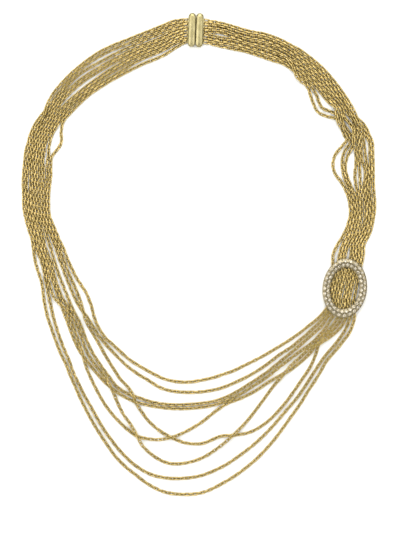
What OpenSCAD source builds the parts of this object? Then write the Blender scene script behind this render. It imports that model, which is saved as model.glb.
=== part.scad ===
// Multi-strand necklace, lying closed on a table: nine fine chains run side by side from one
// half of a clasp to the other, and through an oval slide set with two rows of stones.
// All lengths are in millimetres. The clasp is at the far side (+Y), the slide at the right (+X).

/* [Strands] */
// Outer diameter of one chain
strand_d = 1.0; // [0.8:0.05:1.0]
// Extra height of a chain that passes over another, for each level
level_h = 1.05; // [1.05:0.05:1.4]

/* [Clasp] */
// Length of the clasp, across the strands
clasp_l = 13.5; // [13:0.25:15]
// Width of one half, along the strands
clasp_w = 2.9; // [2.6:0.1:3.2]
// Height over the table
clasp_h = 3.2; // [3:0.1:4]
// Gap between the two halves
clasp_gap = 0.2; // [0.1:0.05:0.3]
// Distance between neighbouring chains at the clasp
lane = 1.08; // [1.07:0.01:1.15]

/* [Slide] */
// Width of the oval, across the strands
slide_w = 18; // [17.6:0.1:18.6]
// Length of the oval, along the strands
slide_l = 23.8; // [23:0.2:24.6]
// Width of the stone-set band at its sides
band_w = 3; // [2.9:0.05:3.1]
// Width of the band at its two ends
band_end_w = 3.5; // [3.2:0.05:3.7]
// Thickness of the bars behind the strands
back_t = 0.6; // [0.4:0.05:0.6]
// Lean of the oval's top to the right, in degrees
slide_lean = 7; // [5:0.5:9]

/* [Stones] */
// Diameter of one stone
stone_d = 1.4; // [1.3:0.05:1.4]
// Stones in each of the two rows
stones_in_row = 28; // [24:1:28]

/* [Hidden] */
STRANDS = 9;

// The strands' routes, read off round the middle of the loop. Each row is a station: its
// bearing in degrees (0 at the clasp, 90 at the right, clockwise), then the distance of
// strands 1 to 9 from the middle of the loop.
STATIONS = [
    [6, 89.3, 91.2, 90.2, 88.4, 82.1, 87.4, 85.4, 84.4, 83.4],
    [9.5, 88.4, 90.4, 89.4, 87.5, 81.7, 86.6, 85.4, 84.2, 83.1],
    [13, 87.9, 89.9, 88.9, 86.9, 81.7, 85.9, 84.9, 83.8, 82.8],
    [17, 88.3, 90.4, 89.4, 87.3, 81.5, 86.1, 84.9, 83.8, 82.6],
    [21, 88.3, 90.4, 89.3, 87.2, 81.5, 86.1, 84.9, 83.8, 82.7],
    [24, 88.0, 90.0, 89.0, 86.8, 81.9, 85.8, 84.8, 83.8, 82.9],
    [27, 87.3, 89.8, 88.4, 86.2, 81.6, 85.0, 82.9, 83.8, 82.7],
    [30, 86.6, 89.2, 87.8, 85.4, 80.7, 84.3, 79.5, 83.1, 81.9],
    [34, 85.9, 88.3, 87.1, 84.7, 79.8, 83.5, 78.5, 82.3, 81.1],
    [37, 85.0, 87.4, 86.2, 83.9, 78.3, 82.7, 75.6, 81.5, 80.3],
    [41, 83.8, 86.1, 85.0, 82.6, 75.6, 81.4, 73.2, 80.2, 79.0],
    [44, 83.0, 85.1, 84.0, 82.0, 76.8, 81.0, 74.3, 80.0, 78.9],
    [46, 82.3, 84.4, 83.4, 81.4, 77.9, 80.3, 76.0, 79.0, 76.9],
    [48, 82.0, 83.6, 82.4, 80.9, 78.7, 79.1, 77.2, 77.4, 75.6],
    [50, 82.5, 82.7, 81.6, 80.9, 79.0, 79.0, 76.9, 76.1, 75.2],
    [52, 83.1, 82.0, 81.0, 79.9, 78.8, 78.5, 76.6, 75.5, 74.4],
    [53.4, 83.2, 82.0, 80.8, 79.6, 78.4, 77.6, 76.8, 75.4, 74.2],
    [54.3, 83.1, 81.9, 80.6, 79.3, 78.0, 76.6, 76.8, 74.9, 70.8],
    [55, 82.9, 81.7, 80.4, 79.0, 77.6, 75.9, 76.3, 74.2, 67.6],
    [56, 82.5, 81.3, 79.8, 78.3, 76.9, 75.1, 74.9, 70.9, 65.6],
    [58, 82.1, 80.9, 78.5, 76.9, 75.6, 74.3, 70.5, 68.1, 63.7],
    [61, 80.0, 78.7, 76.7, 75.0, 73.7, 72.3, 67.4, 66.2, 62.8],
    [65, 77.4, 76.2, 75.0, 73.8, 71.5, 69.3, 66.4, 65.2, 63.5],
    [70, 74.7, 73.1, 71.8, 70.6, 69.2, 67.8, 66.4, 65.1, 63.8],
    [76, 72.9, 71.5, 70.3, 69.1, 67.6, 66.4, 65.3, 64.1, 62.9],
    [81, 70.8, 69.6, 68.4, 67.2, 65.6, 64.4, 63.1, 61.8, 60.5],
    [85, 68.7, 67.4, 66.1, 64.9, 63.6, 62.3, 61.0, 59.6, 57.9],
    [88, 66.5, 65.3, 64.1, 62.9, 61.6, 60.3, 59.1, 57.9, 55.8],
    [92, 66.1, 65.0, 63.8, 62.5, 61.2, 58.9, 57.8, 56.6, 54.1],
    [98, 65.1, 63.9, 62.7, 61.4, 60.2, 58.9, 57.5, 56.2, 54.5],
    [106, 65.3, 63.5, 62.4, 61.3, 59.7, 58.6, 57.5, 56.4, 55.3],
    [110, 66.0, 64.3, 63.1, 61.9, 60.3, 59.1, 57.9, 56.8, 55.7],
    [113, 68.0, 66.3, 64.9, 63.5, 62.0, 60.5, 59.1, 57.8, 56.6],
    [118, 69.0, 67.0, 65.0, 63.4, 61.9, 60.0, 58.4, 57.1, 55.7],
    [122, 68.6, 66.8, 63.8, 62.5, 61.2, 59.8, 58.0, 56.4, 54.5],
    [125, 68.3, 66.6, 62.5, 61.8, 60.6, 59.4, 57.2, 55.6, 53.5],
    [128, 68.0, 66.2, 61.1, 61.4, 60.2, 59.0, 56.6, 55.1, 52.8],
    [131, 68.0, 66.3, 59.6, 62.7, 60.8, 58.4, 56.1, 54.5, 52.1],
    [136, 69.5, 67.3, 59.3, 64.8, 60.9, 57.4, 55.6, 53.9, 51.1],
    [142, 71.6, 69.4, 59.4, 66.7, 60.6, 57.0, 55.4, 53.1, 50.2],
    [146, 73.7, 71.1, 60.5, 68.4, 60.1, 57.1, 55.6, 53.2, 49.9],
    [151, 76.5, 73.2, 62.3, 70.8, 59.9, 57.8, 56.2, 53.6, 49.7],
    [158, 81.7, 77.2, 66.5, 74.1, 60.9, 58.8, 57.2, 54.3, 49.8],
    [164, 86.5, 81.0, 71.2, 75.8, 61.8, 60.2, 58.6, 55.0, 50.4],
    [169, 90.3, 84.2, 75.1, 75.5, 62.5, 61.3, 59.9, 55.8, 50.8],
    [173, 93.2, 86.9, 78.5, 75.1, 64.4, 62.2, 60.7, 56.3, 51.4],
    [179, 97.1, 90.2, 83.3, 77.5, 69.1, 63.0, 61.4, 56.8, 52.2],
    [184, 98.0, 91.6, 85.6, 77.3, 72.9, 63.6, 62.0, 57.1, 53.0],
    [188, 97.7, 92.1, 86.1, 75.8, 75.6, 64.1, 62.6, 57.3, 53.3],
    [192, 95.8, 91.7, 84.4, 73.9, 77.5, 64.6, 63.1, 57.4, 53.4],
    [196, 93.0, 89.9, 81.1, 71.3, 78.3, 65.0, 63.5, 57.0, 53.2],
    [198, 91.8, 88.6, 78.3, 69.6, 78.4, 65.2, 63.6, 56.5, 52.9],
    [202, 88.8, 85.6, 74.0, 66.0, 76.9, 65.7, 63.7, 55.6, 52.4],
    [204, 86.9, 83.9, 72.6, 63.7, 75.9, 65.8, 63.9, 55.4, 52.2],
    [207, 84.3, 81.6, 69.8, 61.6, 74.4, 65.7, 64.0, 55.0, 52.0],
    [211, 81.1, 78.4, 66.0, 60.3, 72.2, 65.3, 63.5, 54.5, 51.8],
    [214, 78.8, 76.2, 63.8, 58.9, 70.3, 64.9, 62.3, 54.0, 51.5],
    [218, 76.0, 73.8, 62.5, 57.3, 67.9, 64.1, 61.0, 53.4, 51.1],
    [223, 72.9, 71.1, 61.4, 55.6, 65.1, 63.1, 59.6, 52.9, 50.9],
    [226, 71.4, 69.7, 60.7, 54.7, 63.2, 62.6, 58.8, 52.6, 51.1],
    [229, 69.9, 68.1, 59.7, 54.1, 61.4, 62.3, 57.9, 52.5, 50.8],
    [233, 68.8, 66.8, 58.3, 53.5, 60.0, 61.5, 56.8, 52.0, 50.3],
    [238, 67.4, 65.4, 57.1, 52.9, 58.7, 60.2, 55.6, 51.8, 49.2],
    [242, 66.5, 64.4, 56.8, 52.0, 58.1, 59.5, 55.4, 52.2, 48.2],
    [246, 65.9, 63.6, 56.7, 51.3, 57.9, 59.1, 55.4, 52.7, 47.9],
    [249, 65.3, 63.0, 57.3, 51.2, 59.4, 58.8, 55.4, 52.9, 47.9],
    [252, 64.8, 62.6, 57.7, 51.3, 60.6, 58.9, 55.5, 53.1, 48.5],
    [258, 63.9, 62.2, 58.2, 52.2, 61.0, 59.5, 56.2, 53.8, 50.1],
    [265, 65.1, 62.6, 59.0, 53.7, 61.4, 60.2, 57.5, 55.2, 52.0],
    [271, 66.0, 64.8, 61.1, 55.6, 63.5, 62.3, 59.0, 57.0, 54.0],
    [274, 66.6, 65.4, 61.9, 57.0, 64.2, 63.1, 60.2, 58.4, 55.6],
    [277, 68.2, 66.9, 63.0, 58.5, 65.6, 64.3, 61.4, 59.9, 57.1],
    [283, 71.4, 70.0, 66.2, 62.3, 68.8, 67.5, 64.9, 63.6, 61.0],
    [287.5, 73.2, 71.9, 68.0, 63.9, 70.6, 69.3, 66.7, 65.3, 62.7],
    [292, 75.4, 74.0, 69.6, 65.5, 72.3, 70.9, 68.2, 66.9, 64.3],
    [297, 77.8, 76.4, 72.4, 67.6, 75.1, 73.7, 70.8, 69.3, 66.1],
    [300, 79.5, 78.0, 74.2, 69.7, 76.7, 75.4, 72.9, 71.7, 68.0],
    [302.5, 80.4, 79.2, 75.5, 70.9, 77.9, 76.7, 74.2, 73.0, 69.4],
    [304, 81.2, 79.9, 76.4, 72.1, 78.7, 77.6, 75.2, 74.0, 69.3],
    [308, 82.4, 81.3, 77.9, 74.3, 80.2, 79.0, 76.8, 75.6, 69.5],
    [311, 82.6, 81.7, 78.5, 75.1, 81.0, 79.6, 77.4, 76.2, 72.5],
    [314, 82.7, 83.7, 79.4, 75.7, 81.6, 80.5, 78.2, 76.9, 74.6],
    [318, 83.9, 85.5, 80.6, 76.4, 82.8, 81.7, 78.9, 77.7, 75.0],
    [325, 86.0, 87.1, 81.5, 77.0, 84.7, 82.8, 79.2, 78.1, 75.8],
    [334, 87.0, 88.5, 82.0, 77.4, 84.9, 83.2, 80.2, 79.0, 76.3],
    [343, 87.4, 88.9, 83.3, 79.5, 86.0, 84.5, 82.1, 80.9, 77.5],
    [350, 89.2, 90.5, 85.0, 81.1, 87.8, 86.2, 83.7, 82.4, 79.1],
    [354, 90.7, 92.0, 86.9, 83.4, 89.3, 88.1, 85.7, 84.6, 81.7]
];
// The order of the strands along the two halves of the clasp, from the outside of the loop
RIGHT_ORDER = [2, 3, 1, 4, 6, 7, 8, 9, 5];
LEFT_ORDER = [2, 1, 5, 6, 3, 7, 8, 4, 9];
// Where a strand lies higher than its neighbours: strand, first and last bearing, levels up
LIFTS = [
    [3, 6, 25, 0.5], [4, 6, 25, 0.5], [7, 6, 24, 0.5], [9, 6, 24, 0.5], [7, 24, 30, 1.1],
    [3, 46, 50, 1], [4, 42, 46, 0.5], [2, 48, 52, 1], [6, 48, 56.5, 1],
    [8, 45, 50, 1], [9, 45, 48, 1.1],
    [3, 124, 131, 1], [3, 142, 148, 1], [3, 167, 173, 1], [5, 186, 192, 1], [3, 196, 200, 1],
    [4, 201, 205, 1], [3, 210, 215, 1], [5, 225, 230, 1], [4, 237, 245, 1], [5, 246, 251, 1],
    [2, 310, 315, 1]
];
// Bearings over which a strand climbs to its level and comes down again
ramp = 3;
sides = 8;

// The middle of the clasp and of the slide, from the middle of the loop
clasp_at = [-0.9, 87.8];
// The clasp leans to the right by this many degrees
clasp_lean = 2;
// The strands' lanes lie this far below the middle of the clasp
lanes_down = 0.2;
slide_at = [58.6, -15.3];

// Clasp: a domed bar on a slightly narrower foot, with a plate that the chains are soldered to
dome_r = clasp_w / 2;
foot_inset = 0.1;
foot_h = clasp_h - dome_r;
plate_out = 0.35;
plate_low = 0.3;
plate_h = 1.5;
plate_l = (STRANDS - 1) * lane + strand_d + 0.4;
plate_x = clasp_gap / 2 + clasp_w + plate_out;
end_h = plate_low + plate_h / 2;
end_gap = 0.03;
tongue_l = 6;
tongue_t = 0.6;
tongue_out = 1.6;
tongue_clear = 0.15;

// Slide: a raised band round the opening, two cheeks beside the strands, two bars behind them
channel_w = 13.1;
strand_lift = back_t + 0.1;
band_low = strand_lift + strand_d + 0.3;
rim_t = 0.12;
rim_h = 1.15;
bed_edge_h = 0.6;
bed_mid_h = 0.95;
bar_at = 5;
bar_w = 1.8;
cheek_inset = 0.12;
sections = 48;
lift_from = 93;
lift_to = 113;
lift_ramp = 6;

// Stones: an eight-sided cut with a table, eight crown facets and eight pavilion facets
row_at = 0.6;
table_share = 0.58;
crown_h = 0.17 * stone_d;
pavilion_h = 0.43 * stone_d;
seat_gap = 0.04;

function clamp01(t) = min(1, max(0, t));
function away(b, from, to) = max(0, from - b, b - to);
function place_in(order, s) = search(s, order)[0];
function lane_y(k) = (4 - k) * lane - lanes_down;
function leaning(v) = [
    v[0] * cos(clasp_lean) + v[1] * sin(clasp_lean),
    v[1] * cos(clasp_lean) - v[0] * sin(clasp_lean), v[2]
];

// Height of the middle of strand s at bearing b
function levels(s, b) = max([0, for (row = LIFTS) if (row[0] == s)
    row[3] * clamp01(1 - away(b, row[1], row[2]) / ramp)]);
function slide_rise(b) = strand_lift * clamp01(1 - away(b, lift_from, lift_to) / lift_ramp);
function height(s, b) = strand_d / 2 + level_h * levels(s, b) + slide_rise(b);

// The middle of a strand's end at the clasp: side 1 is the right half, -1 the left half
function clasp_end(side, k) = [clasp_at[0], clasp_at[1], 0]
    + leaning([side * (plate_x + end_gap), lane_y(k), end_h]);

// The ring middles of strand s, from the clasp's right half round to its left half
function station(s, row) = [row[s] * sin(row[0]), row[s] * cos(row[0]), height(s, row[0])];
function route(s) = [
    clasp_end(1, place_in(RIGHT_ORDER, s)),
    for (row = STATIONS) station(s, row),
    clasp_end(-1, place_in(LEFT_ORDER, s))
];

function unit(v) = v / norm(v);
function flat(v) = [v[0], v[1], 0];
function leg(p, k) = unit(flat(p[k + 1] - p[k]));
// A strand leaves and meets the clasp square to its bars
function heading(p, k) = k == 0 || k == len(p) - 1 ? leaning([1, 0, 0])
    : unit(leg(p, k - 1) + leg(p, k));
function ring(centre, ahead) = [
    for (a = [0:360 / sides:359])
        centre + strand_d / 2 * (cos(a) * cross(ahead, [0, 0, 1]) + [0, 0, sin(a)])
];
function skin(p) = [for (k = [0:len(p) - 1]) each ring(p[k], heading(p, k))];

function tube_faces(rings) = concat(
    [[for (i = [0:sides - 1]) i]],
    [for (k = [0:rings - 2]) for (i = [0:sides - 1]) each [
        [k * sides + i, (k + 1) * sides + i, (k + 1) * sides + (i + 1) % sides],
        [k * sides + i, (k + 1) * sides + (i + 1) % sides, k * sides + (i + 1) % sides]
    ]],
    [[for (i = [sides - 1:-1:0]) (rings - 1) * sides + i]]
);

// The origin is under the middle of the necklace's outline, on the table
SKINS = [for (s = [1:STRANDS]) skin(route(s))];
all_x = [for (skin_points = SKINS) for (p = skin_points) p[0]];
all_y = [for (skin_points = SKINS) for (p = skin_points) p[1]];
far_y = max(max(all_y), clasp_at[1] + dome_r + (clasp_l / 2 - dome_r) * cos(clasp_lean)
    + (clasp_gap / 2 + dome_r) * sin(clasp_lean));
origin = [(min(all_x) + max(all_x)) / 2, (min(all_y) + far_y) / 2, 0];

module strand(s) {
    color([0.72, 0.6, 0.34])
        translate(-origin)
            polyhedron(points = SKINS[s - 1], faces = tube_faces(len(STATIONS) + 2));
}

// One half of the clasp, to the right of the gap, standing along Y
module clasp_bar() {
    straight = clasp_l - clasp_w;
    foot_r = dome_r - foot_inset;
    middle = clasp_gap / 2 + dome_r;
    translate([middle, 0, foot_h]) {
        rotate([90, 0, 0])
            cylinder(h = straight, r = dome_r, center = true, $fn = 64);
        for (end = [-1, 1])
            translate([0, end * straight / 2, 0])
                sphere(r = dome_r, $fn = 64);
    }
    translate([middle, 0, 0]) {
        translate([-foot_r, -straight / 2, 0])
            cube([2 * foot_r, straight, foot_h]);
        for (end = [-1, 1])
            translate([0, end * straight / 2, 0])
                cylinder(h = foot_h, r = foot_r, $fn = 64);
    }
    translate([middle, -plate_l / 2 - lanes_down, plate_low])
        cube([plate_x - middle, plate_l, plate_h]);
}

// The plain tongue that reaches into the other half, grown by a margin for its slot
module tongue(margin) {
    translate([-tongue_out - margin, -tongue_l / 2 - margin, end_h - tongue_t / 2 - margin])
        cube([tongue_out + 1 + margin, tongue_l + 2 * margin, tongue_t + 2 * margin]);
}

module clasp_right() {
    color([0.86, 0.74, 0.42])
        translate([clasp_at[0], clasp_at[1], 0] - origin)
            rotate([0, 0, -clasp_lean]) {
                clasp_bar();
                tongue(0);
            }
}

module clasp_left() {
    color([0.86, 0.74, 0.42])
        translate([clasp_at[0], clasp_at[1], 0] - origin)
            rotate([0, 0, -clasp_lean])
                difference() {
                    mirror([1, 0, 0]) clasp_bar();
                    tongue(tongue_clear);
                }
}

// The oval's middle line, and a table from length along it to angle
mid_a = slide_w / 2 - band_w / 2;
mid_b = slide_l / 2 - band_end_w / 2;
function oval(a, b, t) = [a * cos(t), b * sin(t)];
function outward(t) = unit([mid_b * cos(t), mid_a * sin(t)]);
STEP = 3;
function lengths(t, sum) = t > 360 ? [] : concat([[sum, t]],
    lengths(t + STEP, sum + norm(oval(mid_a, mid_b, t + STEP) - oval(mid_a, mid_b, t))));
LENGTHS = lengths(0, 0);
oval_length = LENGTHS[len(LENGTHS) - 1][0];
function angle_at(share) = lookup(share * oval_length, LENGTHS);

// The band widens from its sides to its ends
function swell(t) = 1 + (band_end_w / band_w - 1) * sin(t) * sin(t);
function half(t) = band_w / 2 * swell(t);

// The band's section at angle t: offset outwards and height, from the outer foot inwards
bed_at = [band_low + bed_edge_h, band_low + bed_mid_h];
function section(t) = [
    [half(t), band_low],
    [half(t), band_low + rim_h],
    [half(t) - rim_t, band_low + rim_h + 0.05],
    [half(t) - rim_t, bed_at[0]],
    [0, bed_at[1]],
    [-half(t) + rim_t, bed_at[0]],
    [-half(t) + rim_t, band_low + rim_h + 0.05],
    [-half(t), band_low + rim_h],
    [-half(t), band_low]
];
band_n = 9;
function band_ring(t) = [for (q = section(t))
    concat(oval(mid_a, mid_b, t) + q[0] * outward(t), [q[1]])];

module band() {
    points = [for (k = [0:sections - 1]) each band_ring(angle_at(k / sections))];
    faces = [for (k = [0:sections - 1]) for (i = [0:band_n - 1]) each [
        [k * band_n + i, k * band_n + (i + 1) % band_n,
            (k + 1) % sections * band_n + (i + 1) % band_n],
        [k * band_n + i, (k + 1) % sections * band_n + (i + 1) % band_n,
            (k + 1) % sections * band_n + i]
    ]];
    polyhedron(points = points, faces = faces);
}

module oval_plate(inset) {
    polygon([for (t = [0:6:354]) oval(slide_w / 2 - inset, slide_l / 2 - inset, t)]);
}

module on_slide() {
    translate([slide_at[0], slide_at[1], 0] - origin)
        rotate([0, 0, -slide_lean])
            children();
}

module slide_frame() {
    color([0.84, 0.82, 0.76])
        on_slide() {
            band();
            linear_extrude(height = band_low + bed_edge_h / 2)
                difference() {
                    oval_plate(cheek_inset);
                    square([channel_w, slide_l], center = true);
                }
            for (side = [-1, 1])
                translate([-channel_w / 2 - 0.5, side * bar_at - bar_w / 2, 0])
                    cube([channel_w + 1, bar_w, back_t]);
        }
}

// A stone at the origin with its culet down and its girdle at z = 0
module stone() {
    girdle = [for (a = [0:45:315]) stone_d / 2 * [cos(a), sin(a), 0]];
    rim = [for (a = [0:45:315]) table_share * stone_d / 2 * [cos(a), sin(a), 0] + [0, 0, crown_h]];
    faces = concat(
        [[for (i = [7:-1:0]) 8 + i]],
        [for (i = [0:7]) [i, 8 + i, 8 + (i + 1) % 8, (i + 1) % 8]],
        [for (i = [0:7]) [16, i, (i + 1) % 8]]
    );
    polyhedron(points = concat(girdle, rim, [[0, 0, -pavilion_h]]), faces = faces);
}

// The bed that the stones sit over falls away from its middle ridge at angle t
function bed_fall(t) = (bed_at[1] - bed_at[0]) / (half(t) - rim_t);
function facing(t) = atan2(outward(t)[1], outward(t)[0]);

module slide_stones() {
    color([0.95, 0.96, 1])
        on_slide()
            for (row = [-1, 1])
                for (k = [0:stones_in_row - 1]) {
                    t = angle_at((k + (row + 1) / 4) / stones_in_row);
                    tilt = atan(bed_fall(t));
                    rise = pavilion_h + seat_gap;
                    culet = row_at * swell(t) - rise * sin(tilt);
                    spot = oval(mid_a, mid_b, t) + row * culet * outward(t);
                    translate([spot[0], spot[1], bed_at[1] - culet * bed_fall(t)])
                        rotate([0, row * tilt, facing(t)])
                            translate([0, 0, rise])
                                stone();
                }
}

strand(1);  // strand_1
strand(2);  // strand_2
strand(3);  // strand_3
strand(4);  // strand_4
strand(5);  // strand_5
strand(6);  // strand_6
strand(7);  // strand_7
strand(8);  // strand_8
strand(9);  // strand_9
clasp_left();
clasp_right();
slide_frame();
slide_stones();
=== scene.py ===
# %% [markdown]
# # A necklace of nine chains, a bar clasp and a stone-set slide
# The necklace lies closed on a pale table and is looked at from straight above. The routes are
# those of the CAD solids, and the sizes are theirs or very near; this notebook dresses them with
# real links, polished metal and cut stones. Lengths are named in millimetres and turned into
# metres with MM.

# %% Load the frame
import math

import bmesh
import bpy
import numpy as np
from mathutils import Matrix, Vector


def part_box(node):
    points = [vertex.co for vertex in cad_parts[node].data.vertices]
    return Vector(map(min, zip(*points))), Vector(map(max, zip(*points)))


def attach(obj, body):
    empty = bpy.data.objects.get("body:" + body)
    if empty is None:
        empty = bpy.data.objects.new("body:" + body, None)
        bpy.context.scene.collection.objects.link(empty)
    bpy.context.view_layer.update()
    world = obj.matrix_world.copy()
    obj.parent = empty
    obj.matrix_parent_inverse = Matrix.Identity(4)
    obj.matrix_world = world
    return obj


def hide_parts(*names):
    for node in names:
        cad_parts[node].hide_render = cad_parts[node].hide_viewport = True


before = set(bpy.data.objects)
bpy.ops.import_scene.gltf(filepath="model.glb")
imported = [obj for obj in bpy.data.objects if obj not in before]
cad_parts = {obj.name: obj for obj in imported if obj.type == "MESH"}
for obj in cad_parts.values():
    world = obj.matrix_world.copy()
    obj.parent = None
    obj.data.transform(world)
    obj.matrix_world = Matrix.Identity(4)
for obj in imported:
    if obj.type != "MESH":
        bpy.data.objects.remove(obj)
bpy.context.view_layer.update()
MM = 0.001
print("nodes:", sorted(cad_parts))

# %% [markdown]
# ## The camera
# A catalogue picture of a necklace is taken from straight above. A short lens would have to come
# close, and would then show the inner sides of the clasp and the slide beside their tops, so a
# long lens looks down from 0.8 m. The picture is 400 by 533 dots, and its height takes in VIEW_H
# of the table. Nothing nearer than CLIP_FROM or farther than CLIP_TO is drawn.

# %% Camera
CAMERA_H = 800
VIEW_H = 213.2
VIEW_AT = (0.4, -4.8)
CHAIN_LEVEL = 1
SENSOR = 36
CLIP_FROM = 10
CLIP_TO = 5000
bpy.ops.object.camera_add(location=(VIEW_AT[0] * MM, VIEW_AT[1] * MM, CAMERA_H * MM),
                          rotation=(0, 0, 0))
camera = bpy.context.object
camera.name = "camera"
camera.data.sensor_fit = "AUTO"
camera.data.sensor_width = SENSOR
camera.data.lens = SENSOR * (CAMERA_H - CHAIN_LEVEL) / VIEW_H
camera.data.clip_start = CLIP_FROM * MM
camera.data.clip_end = CLIP_TO * MM
bpy.context.scene.camera = camera
print("lens:", round(camera.data.lens, 1), "mm")
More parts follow.
